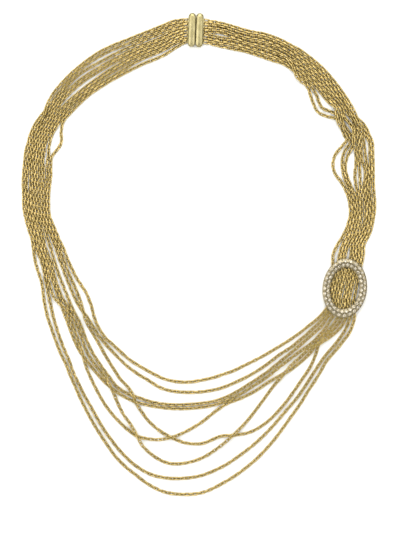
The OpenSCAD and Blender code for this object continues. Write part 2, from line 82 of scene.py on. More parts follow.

# %% [markdown]
# ## The routes of the chains
# A chain could be dropped on the table in a simulation, but it would never land as the real one
# lies. So each chain was laid one by one: its route is a row of given points, the same ones
# that the solids use. A row of STATIONS is a bearing round the loop (0 at the clasp, clockwise),
# then the distance of each of the nine chains from the middle.

# %% Stations
STATIONS = [
    [6, 89.3, 91.2, 90.2, 88.4, 82.1, 87.4, 85.4, 84.4, 83.4],
    [9.5, 88.4, 90.4, 89.4, 87.5, 81.7, 86.6, 85.4, 84.2, 83.1],
    [13, 87.9, 89.9, 88.9, 86.9, 81.7, 85.9, 84.9, 83.8, 82.8],
    [17, 88.3, 90.4, 89.4, 87.3, 81.5, 86.1, 84.9, 83.8, 82.6],
    [21, 88.3, 90.4, 89.3, 87.2, 81.5, 86.1, 84.9, 83.8, 82.7],
    [24, 88.0, 90.0, 89.0, 86.8, 81.9, 85.8, 84.8, 83.8, 82.9],
    [27, 87.3, 89.8, 88.4, 86.2, 81.6, 85.0, 82.9, 83.8, 82.7],
    [30, 86.6, 89.2, 87.8, 85.4, 80.7, 84.3, 79.5, 83.1, 81.9],
    [34, 85.9, 88.3, 87.1, 84.7, 79.8, 83.5, 78.5, 82.3, 81.1],
    [37, 85.0, 87.4, 86.2, 83.9, 78.3, 82.7, 75.6, 81.5, 80.3],
    [41, 83.8, 86.1, 85.0, 82.6, 75.6, 81.4, 73.2, 80.2, 79.0],
    [44, 83.0, 85.1, 84.0, 82.0, 76.8, 81.0, 74.3, 80.0, 78.9],
    [46, 82.3, 84.4, 83.4, 81.4, 77.9, 80.3, 76.0, 79.0, 76.9],
    [48, 82.0, 83.6, 82.4, 80.9, 78.7, 79.1, 77.2, 77.4, 75.6],
    [50, 82.5, 82.7, 81.6, 80.9, 79.0, 79.0, 76.9, 76.1, 75.2],
    [52, 83.1, 82.0, 81.0, 79.9, 78.8, 78.5, 76.6, 75.5, 74.4],
    [53.4, 83.2, 82.0, 80.8, 79.6, 78.4, 77.6, 76.8, 75.4, 74.2],
    [54.3, 83.1, 81.9, 80.6, 79.3, 78.0, 76.6, 76.8, 74.9, 70.8],
    [55, 82.9, 81.7, 80.4, 79.0, 77.6, 75.9, 76.3, 74.2, 67.6],
    [56, 82.5, 81.3, 79.8, 78.3, 76.9, 75.1, 74.9, 70.9, 65.6],
    [58, 82.1, 80.9, 78.5, 76.9, 75.6, 74.3, 70.5, 68.1, 63.7],
    [61, 80.0, 78.7, 76.7, 75.0, 73.7, 72.3, 67.4, 66.2, 62.8],
    [65, 77.4, 76.2, 75.0, 73.8, 71.5, 69.3, 66.4, 65.2, 63.5],
    [70, 74.7, 73.1, 71.8, 70.6, 69.2, 67.8, 66.4, 65.1, 63.8],
    [76, 72.9, 71.5, 70.3, 69.1, 67.6, 66.4, 65.3, 64.1, 62.9],
    [81, 70.8, 69.6, 68.4, 67.2, 65.6, 64.4, 63.1, 61.8, 60.5],
    [85, 68.7, 67.4, 66.1, 64.9, 63.6, 62.3, 61.0, 59.6, 57.9],
    [88, 66.5, 65.3, 64.1, 62.9, 61.6, 60.3, 59.1, 57.9, 55.8],
    [92, 66.1, 65.0, 63.8, 62.5, 61.2, 58.9, 57.8, 56.6, 54.1],
    [98, 65.1, 63.9, 62.7, 61.4, 60.2, 58.9, 57.5, 56.2, 54.5],
    [106, 65.3, 63.5, 62.4, 61.3, 59.7, 58.6, 57.5, 56.4, 55.3],
    [110, 66.0, 64.3, 63.1, 61.9, 60.3, 59.1, 57.9, 56.8, 55.7],
    [113, 68.0, 66.3, 64.9, 63.5, 62.0, 60.5, 59.1, 57.8, 56.6],
    [118, 69.0, 67.0, 65.0, 63.4, 61.9, 60.0, 58.4, 57.1, 55.7],
    [122, 68.6, 66.8, 63.8, 62.5, 61.2, 59.8, 58.0, 56.4, 54.5],
    [125, 68.3, 66.6, 62.5, 61.8, 60.6, 59.4, 57.2, 55.6, 53.5],
    [128, 68.0, 66.2, 61.1, 61.4, 60.2, 59.0, 56.6, 55.1, 52.8],
    [131, 68.0, 66.3, 59.6, 62.7, 60.8, 58.4, 56.1, 54.5, 52.1],
    [136, 69.5, 67.3, 59.3, 64.8, 60.9, 57.4, 55.6, 53.9, 51.1],
    [142, 71.6, 69.4, 59.4, 66.7, 60.6, 57.0, 55.4, 53.1, 50.2],
    [146, 73.7, 71.1, 60.5, 68.4, 60.1, 57.1, 55.6, 53.2, 49.9],
    [151, 76.5, 73.2, 62.3, 70.8, 59.9, 57.8, 56.2, 53.6, 49.7],
    [158, 81.7, 77.2, 66.5, 74.1, 60.9, 58.8, 57.2, 54.3, 49.8],
    [164, 86.5, 81.0, 71.2, 75.8, 61.8, 60.2, 58.6, 55.0, 50.4],
    [169, 90.3, 84.2, 75.1, 75.5, 62.5, 61.3, 59.9, 55.8, 50.8],
    [173, 93.2, 86.9, 78.5, 75.1, 64.4, 62.2, 60.7, 56.3, 51.4],
    [179, 97.1, 90.2, 83.3, 77.5, 69.1, 63.0, 61.4, 56.8, 52.2],
    [184, 98.0, 91.6, 85.6, 77.3, 72.9, 63.6, 62.0, 57.1, 53.0],
    [188, 97.7, 92.1, 86.1, 75.8, 75.6, 64.1, 62.6, 57.3, 53.3],
    [192, 95.8, 91.7, 84.4, 73.9, 77.5, 64.6, 63.1, 57.4, 53.4],
    [196, 93.0, 89.9, 81.1, 71.3, 78.3, 65.0, 63.5, 57.0, 53.2],
    [198, 91.8, 88.6, 78.3, 69.6, 78.4, 65.2, 63.6, 56.5, 52.9],
    [202, 88.8, 85.6, 74.0, 66.0, 76.9, 65.7, 63.7, 55.6, 52.4],
    [204, 86.9, 83.9, 72.6, 63.7, 75.9, 65.8, 63.9, 55.4, 52.2],
    [207, 84.3, 81.6, 69.8, 61.6, 74.4, 65.7, 64.0, 55.0, 52.0],
    [211, 81.1, 78.4, 66.0, 60.3, 72.2, 65.3, 63.5, 54.5, 51.8],
    [214, 78.8, 76.2, 63.8, 58.9, 70.3, 64.9, 62.3, 54.0, 51.5],
    [218, 76.0, 73.8, 62.5, 57.3, 67.9, 64.1, 61.0, 53.4, 51.1],
    [223, 72.9, 71.1, 61.4, 55.6, 65.1, 63.1, 59.6, 52.9, 50.9],
    [226, 71.4, 69.7, 60.7, 54.7, 63.2, 62.6, 58.8, 52.6, 51.1],
    [229, 69.9, 68.1, 59.7, 54.1, 61.4, 62.3, 57.9, 52.5, 50.8],
    [233, 68.8, 66.8, 58.3, 53.5, 60.0, 61.5, 56.8, 52.0, 50.3],
    [238, 67.4, 65.4, 57.1, 52.9, 58.7, 60.2, 55.6, 51.8, 49.2],
    [242, 66.5, 64.4, 56.8, 52.0, 58.1, 59.5, 55.4, 52.2, 48.2],
    [246, 65.9, 63.6, 56.7, 51.3, 57.9, 59.1, 55.4, 52.7, 47.9],
    [249, 65.3, 63.0, 57.3, 51.2, 59.4, 58.8, 55.4, 52.9, 47.9],
    [252, 64.8, 62.6, 57.7, 51.3, 60.6, 58.9, 55.5, 53.1, 48.5],
    [258, 63.9, 62.2, 58.2, 52.2, 61.0, 59.5, 56.2, 53.8, 50.1],
    [265, 65.1, 62.6, 59.0, 53.7, 61.4, 60.2, 57.5, 55.2, 52.0],
    [271, 66.0, 64.8, 61.1, 55.6, 63.5, 62.3, 59.0, 57.0, 54.0],
    [274, 66.6, 65.4, 61.9, 57.0, 64.2, 63.1, 60.2, 58.4, 55.6],
    [277, 68.2, 66.9, 63.0, 58.5, 65.6, 64.3, 61.4, 59.9, 57.1],
    [283, 71.4, 70.0, 66.2, 62.3, 68.8, 67.5, 64.9, 63.6, 61.0],
    [287.5, 73.2, 71.9, 68.0, 63.9, 70.6, 69.3, 66.7, 65.3, 62.7],
    [292, 75.4, 74.0, 69.6, 65.5, 72.3, 70.9, 68.2, 66.9, 64.3],
    [297, 77.8, 76.4, 72.4, 67.6, 75.1, 73.7, 70.8, 69.3, 66.1],
    [300, 79.5, 78.0, 74.2, 69.7, 76.7, 75.4, 72.9, 71.7, 68.0],
    [302.5, 80.4, 79.2, 75.5, 70.9, 77.9, 76.7, 74.2, 73.0, 69.4],
    [304, 81.2, 79.9, 76.4, 72.1, 78.7, 77.6, 75.2, 74.0, 69.3],
    [308, 82.4, 81.3, 77.9, 74.3, 80.2, 79.0, 76.8, 75.6, 69.5],
    [311, 82.6, 81.7, 78.5, 75.1, 81.0, 79.6, 77.4, 76.2, 72.5],
    [314, 82.7, 83.7, 79.4, 75.7, 81.6, 80.5, 78.2, 76.9, 74.6],
    [318, 83.9, 85.5, 80.6, 76.4, 82.8, 81.7, 78.9, 77.7, 75.0],
    [325, 86.0, 87.1, 81.5, 77.0, 84.7, 82.8, 79.2, 78.1, 75.8],
    [334, 87.0, 88.5, 82.0, 77.4, 84.9, 83.2, 80.2, 79.0, 76.3],
    [343, 87.4, 88.9, 83.3, 79.5, 86.0, 84.5, 82.1, 80.9, 77.5],
    [350, 89.2, 90.5, 85.0, 81.1, 87.8, 86.2, 83.7, 82.4, 79.1],
    [354, 90.7, 92.0, 86.9, 83.4, 89.3, 88.1, 85.7, 84.6, 81.7],
]
print(len(STATIONS), "stations")

# %% [markdown]
# Where one chain crosses another it climbs over it and comes down again. A row of LIFTS is the
# chain, the bearings between which it is up, and how many levels it climbs. These are the rises
# of the solids too.

# %% Crossings
LIFTS = [
    [3, 6, 25, 0.5], [4, 6, 25, 0.5], [7, 6, 24, 0.5], [9, 6, 24, 0.5], [7, 24, 30, 1.1],
    [3, 46, 50, 1], [4, 42, 46, 0.5], [2, 48, 52, 1], [6, 48, 56.5, 1],
    [8, 45, 50, 1], [9, 45, 48, 1.1],
    [3, 124, 131, 1], [3, 142, 148, 1], [3, 167, 173, 1], [5, 186, 192, 1], [3, 196, 200, 1],
    [4, 201, 205, 1], [3, 210, 215, 1], [5, 225, 230, 1], [4, 237, 245, 1], [5, 246, 251, 1],
    [2, 310, 315, 1],
]
STRANDS = range(1, 10)
print(len(LIFTS), "climbs for", len(STRANDS), "chains")

# %% [markdown]
# ## Lanes on the clasp
# The chains end side by side on the clasp, in lanes of one width, and not in the same order on
# both halves. Each order names the chains from the far lane to the near one. The ends stand
# PLATE_X to each side of the clasp's middle.

# %% Lanes
RIGHT_ORDER = [2, 3, 1, 4, 6, 7, 8, 9, 5]
LEFT_ORDER = [2, 1, 5, 6, 3, 7, 8, 4, 9]
CLASP_AT = (-0.9, 87.8)
CLASP_LEAN = math.radians(2)
PLATE_X = 3.35
LANE = 1.08
LANES_DOWN = 0.2
LANES_W = (len(STRANDS) - 1) * LANE
MID_LANE = (len(STRANDS) - 1) / 2
print("the lanes take", round(LANES_W, 2), "mm from the first to the last")

# %% [markdown]
# The routes are drawn round the middle of the loop, but the frame's origin is the middle of the
# whole outline. The clasp is in both, so the shift between the two is read off its CAD solids.

# %% Shift from the loop's middle to the frame
left_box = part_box("clasp_left")
right_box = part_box("clasp_right")
clasp_mid = Vector(((left_box[0][0] + right_box[1][0]) / 2,
                    (right_box[0][1] + left_box[1][1]) / 2, 0))
SHIFT = np.array([clasp_mid.x / MM - CLASP_AT[0], clasp_mid.y / MM - CLASP_AT[1], 0])
print("shift in mm:", SHIFT.round(3))

# %% [markdown]
# ## Heights along a chain
# The links of a fine chain lie on their corners, every other one leaning the other way, so its
# middle rests a little under half a link's width above the table. It rises over its neighbours,
# over the bars behind the slide and up to its place on the clasp. A straight step would fold the
# chain, so each climb is eased at its foot and its top; the ramps are in degrees of bearing.

# %% Heights
REST_H = 0.81
LEVEL_H = 1.2
BARS_H = 0.53
END_H = 1.05
LIFT_RAMP = 3
SLIDE_FROM = 93
SLIDE_TO = 113
SLIDE_RAMP = 6


def away(bearing, start, end):
    return max(0, start - bearing, bearing - end)


def ease(part):
    part = min(1, max(0, part))
    return part * part * (3 - 2 * part)


def in_slide(bearing):
    return ease(1 - away(bearing, SLIDE_FROM, SLIDE_TO) / SLIDE_RAMP)


def height(strand, bearing):
    levels = [level * ease(1 - away(bearing, start, end) / LIFT_RAMP)
              for chain, start, end, level in LIFTS if chain == strand]
    return REST_H + LEVEL_H * max(levels, default=0) + BARS_H * in_slide(bearing)


print("strand 3 is", height(3, 127), "mm up at 127 degrees and", height(3, 180), "mm at 180")

# %% [markdown]
# A route starts and ends on the clasp. A curve through points needs to know where it comes from
# and where it goes, so one more point lies past each end, LEAD further in along the lane.

# %% Points of a route
LEAD = 2


def at_clasp(x, order, strand):
    """A point x to the right of the clasp's middle, in the strand's lane."""
    y = (MID_LANE - order.index(strand)) * LANE - LANES_DOWN
    c, s = math.cos(CLASP_LEAN), math.sin(CLASP_LEAN)
    return (CLASP_AT[0] + c * x + s * y, CLASP_AT[1] + c * y - s * x, END_H)


def route(strand):
    points = [at_clasp(PLATE_X - LEAD, RIGHT_ORDER, strand),
              at_clasp(PLATE_X, RIGHT_ORDER, strand)]
    for row in STATIONS:
        bearing = math.radians(row[0])
        points.append((row[strand] * math.sin(bearing), row[strand] * math.cos(bearing),
                       height(strand, row[0])))
    points.append(at_clasp(-PLATE_X, LEFT_ORDER, strand))
    points.append(at_clasp(LEAD - PLATE_X, LEFT_ORDER, strand))
    return np.array(points) + SHIFT


print("strand 1 passes", len(route(1)), "points")

# %% [markdown]
# ## A smooth curve through the stations
# A chain hangs together in soft bends, so the straight legs between the stations are replaced by
# a curve that passes through every one of them. It is a centripetal spline, whose pace follows
# the root of each leg's length, since it makes no loops where two points lie close together.

# %% Curve through points


def smooth_path(points, steps=12):
    curve = []
    for k in range(1, len(points) - 2):
        p0, p1, p2, p3 = points[k - 1:k + 3]
        t1 = np.linalg.norm(p1 - p0) ** 0.5
        t2 = t1 + np.linalg.norm(p2 - p1) ** 0.5
        t3 = t2 + np.linalg.norm(p3 - p2) ** 0.5
        for t in np.linspace(t1, t2, steps, endpoint=False):
            a1 = (t1 - t) / t1 * p0 + t / t1 * p1
            a2 = (t2 - t) / (t2 - t1) * p1 + (t - t1) / (t2 - t1) * p2
            a3 = (t3 - t) / (t3 - t2) * p2 + (t - t2) / (t3 - t2) * p3
            b1 = (t2 - t) / t2 * a1 + t / t2 * a2
            b2 = (t3 - t) / (t3 - t1) * a2 + (t - t1) / (t3 - t1) * a3
            curve.append((t2 - t) / (t2 - t1) * b1 + (t - t1) / (t2 - t1) * b2)
    curve.append(points[-2])
    return np.array(curve)


def length_along(points):
    """How far along its line each point lies."""
    return np.concatenate([[0], np.linalg.norm(np.diff(points, axis=0), axis=1).cumsum()])


PATHS = {strand: smooth_path(route(strand)) for strand in STRANDS}
for strand, path in PATHS.items():
    print("chain", strand, "is", round(length_along(path)[-1], 1), "mm long")

# %% [markdown]
# ## Small helpers for working by hand
# An operator acts on whatever is selected. `fresh` clears the selection before a primitive is
# added, `pick` selects points in edit mode by their place, and `done` names the piece and moves
# its place into its mesh.

# %% Helpers


def fresh():
    if bpy.context.object and bpy.context.object.mode != "OBJECT":
        bpy.ops.object.mode_set(mode="OBJECT")
    bpy.ops.object.select_all(action="DESELECT")


def edit():
    bpy.ops.object.mode_set(mode="EDIT")
    bpy.ops.mesh.select_all(action="SELECT")


def pick(test):
    edit_mesh = bmesh.from_edit_mesh(bpy.context.object.data)
    bpy.ops.mesh.select_all(action="DESELECT")
    for vert in edit_mesh.verts:
        vert.select_set(bool(test(vert.co)))
    edit_mesh.select_flush(True)
    bmesh.update_edit_mesh(bpy.context.object.data)


def done(name):
    bpy.ops.object.mode_set(mode="OBJECT")
    piece = bpy.context.object
    piece.name = name
    piece.data.name = name
    bpy.ops.object.transform_apply(location=True, rotation=True, scale=True)
    return piece


def measure(piece):
    size = [round(side / MM, 2) for side in piece.dimensions]
    print(piece.name, "measures", size, "mm,", len(piece.data.polygons), "faces")


# %% [markdown]
# ## One link
# A cable chain is made of one oval link, over and over. The link starts as a torus, whose two
# halves are pulled apart: the wire stays round and the sides become straight. Links of the real
# chain are soldered shut, so the ring is closed. PITCH is the step from one link to the next,
# and with the slack neighbouring wires just miss each other.

# %% Model the link
WIRE = 0.54
LINK_W = 1.66
PITCH = 1.57
SLACK = 0.03
LINK_L = PITCH + 2 * WIRE + SLACK
stretch = (LINK_L - LINK_W) / 2 * MM

fresh()
bpy.ops.mesh.primitive_torus_add(major_segments=14, minor_segments=6,
                                 major_radius=(LINK_W - WIRE) / 2 * MM,
                                 minor_radius=WIRE / 2 * MM)
edit()
pick(lambda co: co.x > 0)
bpy.ops.transform.translate(value=(stretch, 0, 0))
pick(lambda co: co.x < 0)
bpy.ops.transform.translate(value=(-stretch, 0, 0))
link = done("link")
measure(link)
LINK_POINTS = np.array([vert.co for vert in link.data.vertices])
LINK_NORMALS = np.array([vert.normal for vert in link.data.vertices])
LINK_FACES = np.array([face.vertices[:] for face in link.data.polygons])
bpy.data.objects.remove(link)

# %% [markdown]
# ## Lay the links
# Each link sits on its route, turned a quarter turn from the one before, so that each passes
# through its neighbour. The chain also rolls a little as it lies: a slow sway and each link's
# own looseness change which links lie flat, all in degrees. In the low channel of the slide they
# lean by half a right angle, where a chain is flattest. Chains that are neighbours on the clasp
# start with opposite links, which looks woven. The looseness should look random and yet be the
# same in every run, so `scatter` keeps only the digits after the point of a stretched sine; its
# keys are uneven numbers, so that no pattern shows.

# %% Places of the links
FIRST_AT = 0.95
AIM = 0.7
TWIST = 36
SWAY = 6
SWAY_L = 17
SWAY_STEP = 2.1
LOOSE = 22
HELD_TWIST = 45
STEP_KEY = 12.9898
ROW_KEY = 78.233
STRETCH_KEY = 43758.5453


def scatter(count, row=0):
    """Numbers from 0 to 1 in no order that the eye can see, the same in every run."""
    return (np.sin(np.arange(count) * STEP_KEY + row * ROW_KEY) * STRETCH_KEY) % 1


def at_length(path, lengths, where):
    return np.stack([np.interp(where, lengths, path[:, axis]) for axis in range(3)], axis=1)


def lay_links(strand):
    """The middle of each link, the rows of its turn, and its own scattered number."""
    path = PATHS[strand]
    lengths = length_along(path)
    parity = RIGHT_ORDER.index(strand) % 2
    count = int(round((lengths[-1] - 2 * FIRST_AT) / PITCH)) + 1
    count += (parity + count - 1 - LEFT_ORDER.index(strand)) % 2
    where = np.linspace(FIRST_AT, lengths[-1] - FIRST_AT, count)
    middle = at_length(path, lengths, where)
    ahead = at_length(path, lengths, where + AIM) - at_length(path, lengths, where - AIM)
    ahead /= np.linalg.norm(ahead, axis=1)[:, None]
    side = np.cross([0, 0, 1], ahead)
    side /= np.linalg.norm(side, axis=1)[:, None]
    above = np.cross(ahead, side)
    each = scatter(count, strand)
    twist = TWIST + SWAY * np.sin(where / SWAY_L + SWAY_STEP * strand) + LOOSE * each
    bearing = np.degrees(np.arctan2(*(middle - SHIFT)[:, :2].T)) % 360
    held = np.array([in_slide(at) for at in bearing])
    twist = twist * (1 - held) + HELD_TWIST * held
    roll = np.radians(twist + 90 * ((np.arange(count) + parity) % 2))[:, None]
    wide = np.cos(roll) * side + np.sin(roll) * above
    thick = np.cos(roll) * above - np.sin(roll) * side
    return middle, np.stack([ahead, wide, thick], axis=1), each


print("chain 1 has", len(lay_links(1)[0]), "links")

# %% [markdown]
# ## String the chains
# Copies of one link could be single objects, but thousands of them would be slow to handle, so a
# whole chain is one mesh. Each point also keeps a number by which its gold is mixed darker: a
# share for its own link's random tone, and a painted shade that grows as the point turns away
# from straight up, so the sides and undersides of the links are painted darker.

# %% String the chains
# The first share below is each link's own random tone. The second is painted shade: how much
# darker a point is painted as it faces away from straight up.
DULL_LINK = 0.25
PAINTED_SIDE_SHADE = 0.9


def string_links(strand):
    middle, turn, each = lay_links(strand)
    points = np.einsum("vi,kij->kvj", LINK_POINTS, turn) + middle[:, None, :] * MM
    offsets = np.arange(len(middle))[:, None, None] * len(LINK_POINTS)
    faces = (LINK_FACES[None] + offsets).reshape(-1, 4)
    mesh = bpy.data.meshes.new(f"chain_{strand}")
    mesh.from_pydata(points.reshape(-1, 3).tolist(), [], faces.tolist())
    up = np.einsum("vi,kij->kvj", LINK_NORMALS, turn)[:, :, 2]
    # painted shade: the sides and undersides of each link are mixed darker by how far they face
    # away from up, added to the link's own random tone
    tone_and_painted_shade = np.clip(DULL_LINK * each[:, None] + PAINTED_SIDE_SHADE * (1 - np.clip(up, 0, 1)), 0, 1)
    shade = mesh.attributes.new("link_tone_and_painted_shade", "FLOAT", "POINT")
    shade.data.foreach_set("value", tone_and_painted_shade.ravel().astype(np.float32))
    mesh.shade_smooth()
    piece = bpy.data.objects.new(mesh.name, mesh)
    bpy.context.collection.objects.link(piece)
    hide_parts(f"strand_{strand}")
    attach(piece, "root")
    return piece


chains = [string_links(strand) for strand in STRANDS]
face_count = sum(len(piece.data.polygons) for piece in chains)
print(face_count // len(LINK_FACES), "links,", face_count * 2, "triangles")

# %% [markdown]
# ## Finishing a piece
# A piece is shaped at the origin, where its own axes are easy to work along, and then moved to
# its place and turned. Metal never has a knife edge, so slabs get their edges eased by a bevel.

# %% Helpers for a finished piece
TINY = 0.001 * MM


def stand(name, at, lean):
    """Keep the shape made so far, then move the piece to its place and turn it clockwise."""
    bpy.ops.object.mode_set(mode="OBJECT")
    bpy.ops.object.transform_apply(location=True, rotation=True, scale=True)
    piece = bpy.context.object
    piece.location = at
    piece.rotation_euler = (0, 0, -lean)
    return done(name)


def smooth(piece, degrees=40):
    fresh()
    piece.select_set(True)
    bpy.context.view_layer.objects.active = piece
    bpy.ops.object.shade_smooth_by_angle(angle=math.radians(degrees))


def ease_edges(piece, width, sharper_than=30):
    bevel = piece.modifiers.new("eased edges", "BEVEL")
    bevel.width = width * MM
    bevel.segments = 3
    bevel.limit_method = "ANGLE"
    bevel.angle_limit = math.radians(sharper_than)
    bpy.ops.object.modifier_apply(modifier=bevel.name)
    smooth(piece)
    measure(piece)
    return piece


# %% [markdown]
# ## The clasp
# The real clasp is a pair of polished domed bars that close side by side. A bevelled box would
# stay flat on top, so each one starts as a ball whose halves are pulled apart into a long bead
# and pressed flatter; the underside is cut off and drawn down to the table as a slightly
# narrower foot.

# %% Clasp bars
CLASP_L = 13.5
CLASP_W = 2.95
CLASP_H = 3.2
CLASP_GAP = 0.1
DOME_H = 0.6
FOOT_IN = 0.1
FOOT_H = CLASP_H - DOME_H
HALF_W = CLASP_W / 2
BAR_X = CLASP_GAP / 2 + HALF_W


def clasp_bar(name, side):
    pull = (CLASP_L - CLASP_W) / 2 * MM
    fresh()
    bpy.ops.mesh.primitive_uv_sphere_add(segments=48, ring_count=32, radius=HALF_W * MM)
    edit()
    pick(lambda co: co.y > TINY)
    bpy.ops.transform.translate(value=(0, pull, 0))
    pick(lambda co: co.y < -TINY)
    bpy.ops.transform.translate(value=(0, -pull, 0))
    bpy.ops.mesh.select_all(action="SELECT")
    bpy.ops.transform.resize(value=(1, 1, DOME_H / HALF_W))
    bpy.ops.mesh.bisect(plane_co=(0, 0, 0), plane_no=(0, 0, 1), clear_inner=True, threshold=TINY)
    pick(lambda co: co.z < TINY)
    bpy.ops.mesh.extrude_edges_move()
    bpy.ops.transform.resize(value=((HALF_W - FOOT_IN) / HALF_W, 1 - 2 * FOOT_IN / CLASP_L, 1))
    bpy.ops.mesh.extrude_edges_move(TRANSFORM_OT_translate={"value": (0, 0, -FOOT_H * MM)})
    bpy.ops.mesh.edge_face_add()
    bpy.ops.mesh.select_all(action="SELECT")
    bpy.ops.mesh.normals_make_consistent(inside=False)
    bpy.ops.transform.translate(value=(side * BAR_X * MM, 0, FOOT_H * MM))
    piece = stand(name, clasp_mid, CLASP_LEAN)
    smooth(piece)
    measure(piece)
    return piece


clasp_pieces = {-1: [clasp_bar("clasp_bar_left", -1)], 1: [clasp_bar("clasp_bar_right", 1)]}

# %% [markdown]
# At its outer side each bar has a low plate, and the last link of every chain is soldered to it.
# The plate is hardly seen from above, so it is as plain as a plate can be: a slab with eased
# edges, a little longer than the lanes are wide.

# %% Clasp plates
PLATE_MID_H = 0.8
PLATE_T = 1.0
PLATE_OVER = 0.7
SLAB_EASE = 0.12


def clasp_plate(name, side):
    fresh()
    bpy.ops.mesh.primitive_cube_add(
        size=1, location=(side * (BAR_X + PLATE_X) / 2 * MM, -LANES_DOWN * MM, PLATE_MID_H * MM),
        scale=((PLATE_X - BAR_X) * MM, (LANES_W + 2 * PLATE_OVER) * MM, PLATE_T * MM))
    return ease_edges(stand(name, clasp_mid, CLASP_LEAN), SLAB_EASE)


for side, name in ((1, "right"), (-1, "left")):
    clasp_pieces[side].append(clasp_plate(f"clasp_plate_{name}", side))
    for piece in clasp_pieces[side]:
        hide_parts(f"clasp_{name}")
        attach(piece, "root")

# %% [markdown]
# ## The slide's sizes
# The slide is an oval ring that leans a little. SLIDE_A and SLIDE_B are half its width and half
# its length, and its band is wider at the two ends than at the sides. MID_A and MID_B are the
# oval along the band's middle, which the band and its stones are both drawn from.

# %% Slide sizes
SLIDE_AT = (58.6, -15.3)
SLIDE_LEAN = math.radians(7)
SLIDE_A = 8.85
SLIDE_B = 11.9
BAND_SIDE = 3.0
BAND_END = 3.5
BAND_LOW = 2.0
WALL_FOOT = 0.3
MID_A = SLIDE_A - BAND_SIDE / 2
MID_B = SLIDE_B - BAND_END / 2
slide_x = (SLIDE_AT[0] + SHIFT[0]) * MM
slide_y = (SLIDE_AT[1] + SHIFT[1]) * MM
slide_place = (slide_x, slide_y, 0)
print("the band's middle line is", 2 * MID_A, "by", 2 * MID_B, "mm")

# %% [markdown]
# ## The slide's band
# The band is drawn as a jeweller would draw its section: the outer wall goes up, the thin rim
# turns over, the bed for the stones rises to a ridge and falls to the inner rim, and the
# underside comes back. A row is the share of the band's width outwards from its middle, and the
# rise above its underside. A profile swept along a curve would keep one width all round, so each
# step is one extrusion of the whole oval loop, moved and resized instead, and the first and the
# last loop are bridged.

# %% Slide band
OUTER_HALF = [(0.5, WALL_FOOT), (0.5, 0.85), (0.47, 0.9), (0.44, 0.6), (0.2, 0.8)]
INNER_HALF = [(-share, rise) for share, rise in reversed(OUTER_HALF)]
BAND_STEPS = OUTER_HALF + [(0, 0.9)] + INNER_HALF + [(-0.46, 0), (0.46, 0)]
NEAR = 0.01


def on_open_loop(co):
    """True outside the band's middle and low down, where the first and the last loop are."""
    outside = math.hypot(co.x / MID_A, co.y / MID_B) > MM
    return outside and co.z < (BAND_LOW + WALL_FOOT + NEAR) * MM


fresh()
bpy.ops.mesh.primitive_circle_add(vertices=128, radius=MM)
edit()
now = (1, 1, 0)
for number, (share, rise) in enumerate(BAND_STEPS):
    new = (MID_A + share * BAND_SIDE, MID_B + share * BAND_END, BAND_LOW + rise)
    if number:
        bpy.ops.mesh.extrude_edges_move()
    bpy.ops.transform.resize(value=(new[0] / now[0], new[1] / now[1], 1))
    bpy.ops.transform.translate(value=(0, 0, (new[2] - now[2]) * MM))
    now = new
pick(on_open_loop)
bpy.ops.mesh.bridge_edge_loops()
bpy.ops.mesh.select_all(action="SELECT")
bpy.ops.mesh.normals_make_consistent(inside=False)
band = stand("slide_band", slide_place, SLIDE_LEAN)
smooth(band, 35)
measure(band)

# %% [markdown]
# ## The slide's back
# Behind the band the ring is open, so that the chains can run through it. A cheek stands at each
# side of them, and two flat bars join the cheeks underneath. The back is hardly seen, so it is
# kept plain: a cheek is an oval block with all but one side cut off by a plane, a bar is a slab,
# and both have eased edges.

# %% Slide cheeks and bars
CHANNEL = 13.1
CHEEK_H = BAND_LOW + WALL_FOOT
CHEEK_IN = 0.12
CHEEK_EASE = 0.15
BACK_BAR_W = 1.8
BACK_BAR_T = 0.6
BACK_BAR_AT = 5
BACK_BAR_IN = 0.5


def cheek(name, side):
    fresh()
    bpy.ops.mesh.primitive_cylinder_add(vertices=96, radius=MM, depth=CHEEK_H * MM,
                                        location=(0, 0, CHEEK_H / 2 * MM))
    edit()
    bpy.ops.transform.resize(value=(SLIDE_A - CHEEK_IN, SLIDE_B - CHEEK_IN, 1))
    bpy.ops.mesh.bisect(plane_co=(side * CHANNEL / 2 * MM, 0, 0), plane_no=(side, 0, 0),
                        clear_inner=True, use_fill=True, threshold=TINY)
    return ease_edges(stand(name, slide_place, SLIDE_LEAN), CHEEK_EASE, sharper_than=50)


def back_bar(name, at):
    fresh()
    bpy.ops.mesh.primitive_cube_add(
        size=1, location=(0, at * MM, BACK_BAR_T / 2 * MM),
        scale=((CHANNEL + 2 * BACK_BAR_IN) * MM, BACK_BAR_W * MM, BACK_BAR_T * MM))
    return ease_edges(stand(name, slide_place, SLIDE_LEAN), SLAB_EASE)


slide_metal = [band, cheek("slide_cheek_right", 1), cheek("slide_cheek_left", -1),
               back_bar("slide_bar_far", BACK_BAR_AT), back_bar("slide_bar_near", -BACK_BAR_AT)]

# %% [markdown]
# ## One stone
# A round brilliant has a flat table, a crown of small facets and a deep pointed underside. Its
# corners are placed first, ring by ring, and the convex hull operator stretches the facets
# between them, as a cutter's laps would leave them. A row is the ring's share of the radius, its
# height in stone widths, its corners, and the angle of the first one.

# %% Model the stone
STONE_D = 1.2
STONE_RINGS = [(0.58, 0.16, 8, 0), (0.81, 0.105, 8, 22.5), (1, 0.01, 16, 0), (1, -0.02, 16, 0),
               (0.26, -0.35, 8, 22.5), (0.02, -0.43, 8, 0)]


def ring_corners(share, rise, corners, first):
    radius = share * STONE_D / 2 * MM
    angles = [math.radians(360 * k / corners + first) for k in range(corners)]
    return [(radius * math.cos(a), radius * math.sin(a), rise * STONE_D * MM) for a in angles]


